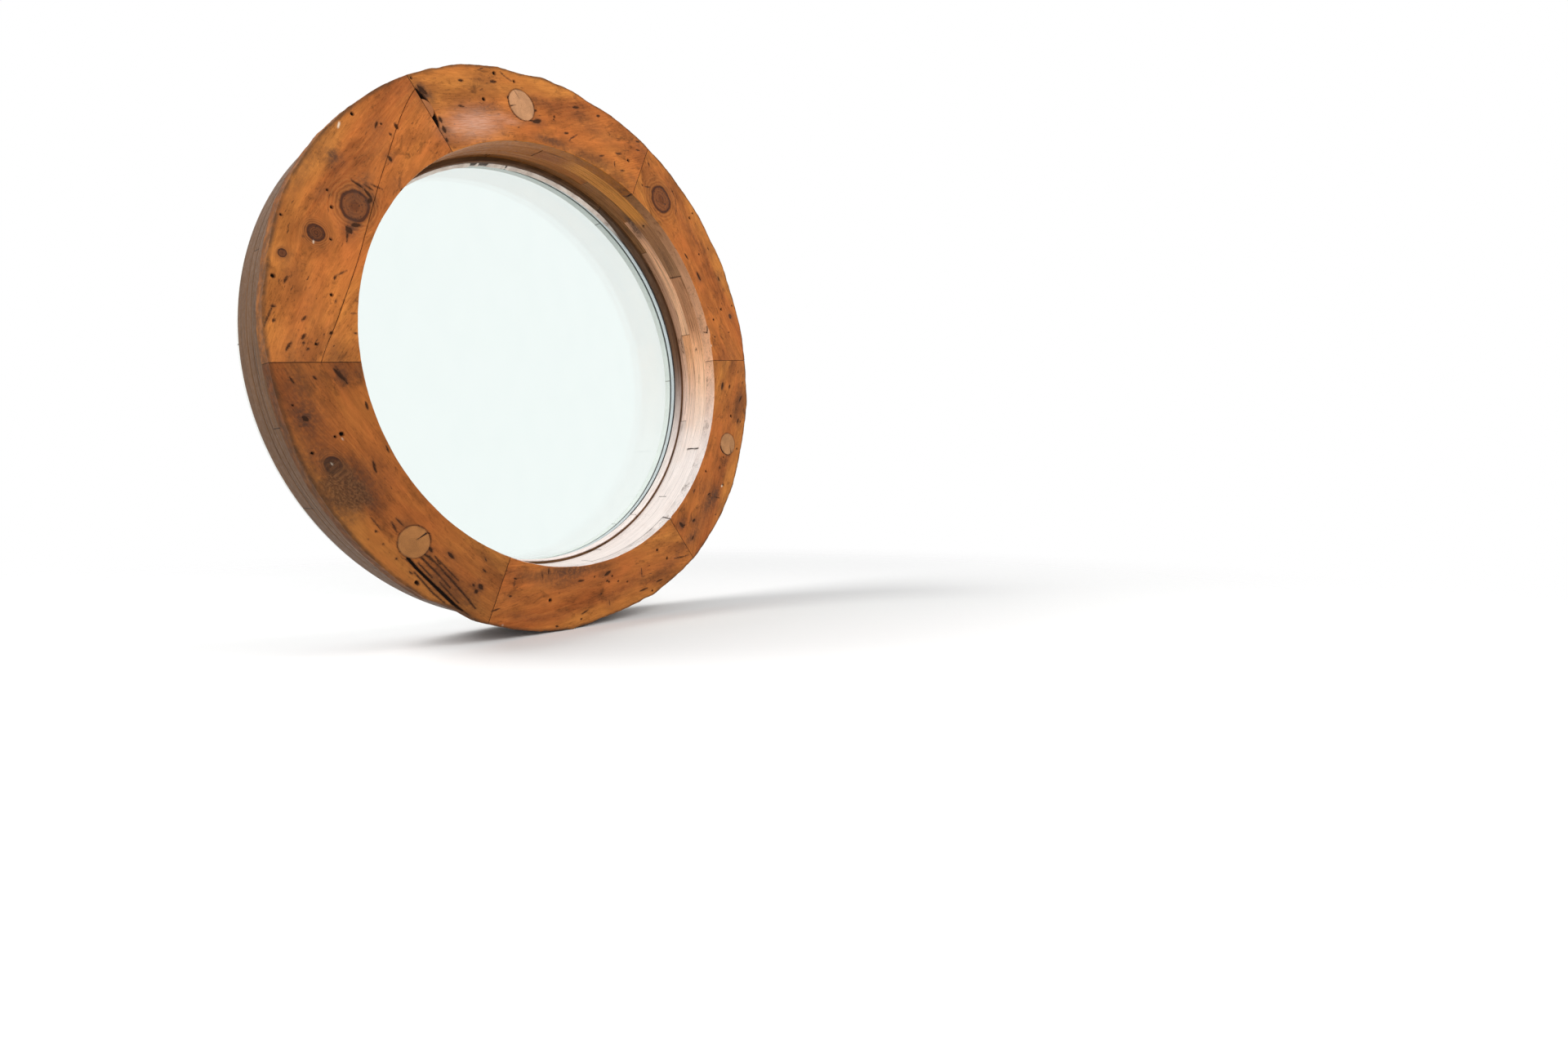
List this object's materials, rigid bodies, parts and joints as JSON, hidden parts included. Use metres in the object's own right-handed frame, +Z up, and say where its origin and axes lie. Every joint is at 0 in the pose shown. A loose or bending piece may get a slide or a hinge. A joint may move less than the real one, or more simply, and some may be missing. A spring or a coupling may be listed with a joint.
{
  "type": "round window",
  "caption": "Fixed round window: double glass held in a thick ring of laminated, pegged timber segments with a hewn face and an outer casing.",
  "frame": {"origin": "on the axis of the ring, in the plane where the back of the face layer seats on the wall's framing", "axes": "+Y along the axis towards outdoors, the room on the -Y side, +Z up"},
  "size_m": [1.3005, 0.2, 1.2968],
  "materials": {
    "face_pine": "varnished reclaimed pine",
    "layer_pine": "varnished pine",
    "hidden_pine": "bare planed pine",
    "peg_wood": "varnished end grain",
    "stop_wood": "dark varnished pine",
    "casing_paint": "white exterior paint",
    "glass": "clear float glass",
    "spacer": "satin mill finish",
    "seal": "matt black",
    "block": "matt black",
    "putty": "old painted putty"
  },
  "bodies": {
    "root": {"face_segment_1": "face_pine", "face_segment_2": "face_pine", "face_segment_4": "face_pine", "face_segment_5": "face_pine", "face_segment_6": "face_pine", "face_segment_3_outer": "face_pine", "face_segment_3_inner": "face_pine", "knot_filler": "peg_wood", "peg_1": "peg_wood", "peg_2": "peg_wood", "peg_3": "peg_wood", "second_layer_segment_1": "layer_pine", "second_layer_segment_2": "layer_pine", "second_layer_segment_3": "layer_pine", "second_layer_segment_4": "layer_pine", "second_layer_segment_5": "layer_pine", "second_layer_segment_6": "layer_pine", "third_layer_segment_1": "layer_pine", "third_layer_segment_2": "layer_pine", "third_layer_segment_3": "layer_pine", "third_layer_segment_4": "layer_pine", "third_layer_segment_5": "layer_pine", "third_layer_segment_6": "layer_pine", "fourth_layer_segment_1": "layer_pine", "fourth_layer_segment_2": "layer_pine", "fourth_layer_segment_3": "layer_pine", "fourth_layer_segment_4": "layer_pine", "fourth_layer_segment_5": "layer_pine", "fourth_layer_segment_6": "layer_pine", "back_layer_segment_1": "hidden_pine", "back_layer_segment_2": "hidden_pine", "back_layer_segment_3": "hidden_pine", "back_layer_segment_4": "hidden_pine", "back_layer_segment_5": "hidden_pine", "back_layer_segment_6": "hidden_pine", "inner_stop_1": "stop_wood", "inner_stop_2": "stop_wood", "inner_stop_3": "stop_wood", "outer_casing_1": "casing_paint", "outer_casing_2": "casing_paint", "outer_casing_3": "casing_paint", "outer_casing_4": "casing_paint", "outer_casing_5": "casing_paint", "outer_casing_6": "casing_paint", "inner_pane": "glass", "outer_pane": "glass", "spacer_bar": "spacer", "edge_seal": "seal", "inner_glazing_tape": "seal", "outer_glazing_tape": "seal", "setting_block_1": "block", "setting_block_2": "block", "putty_bead": "putty"}
  },
  "joints": []
}
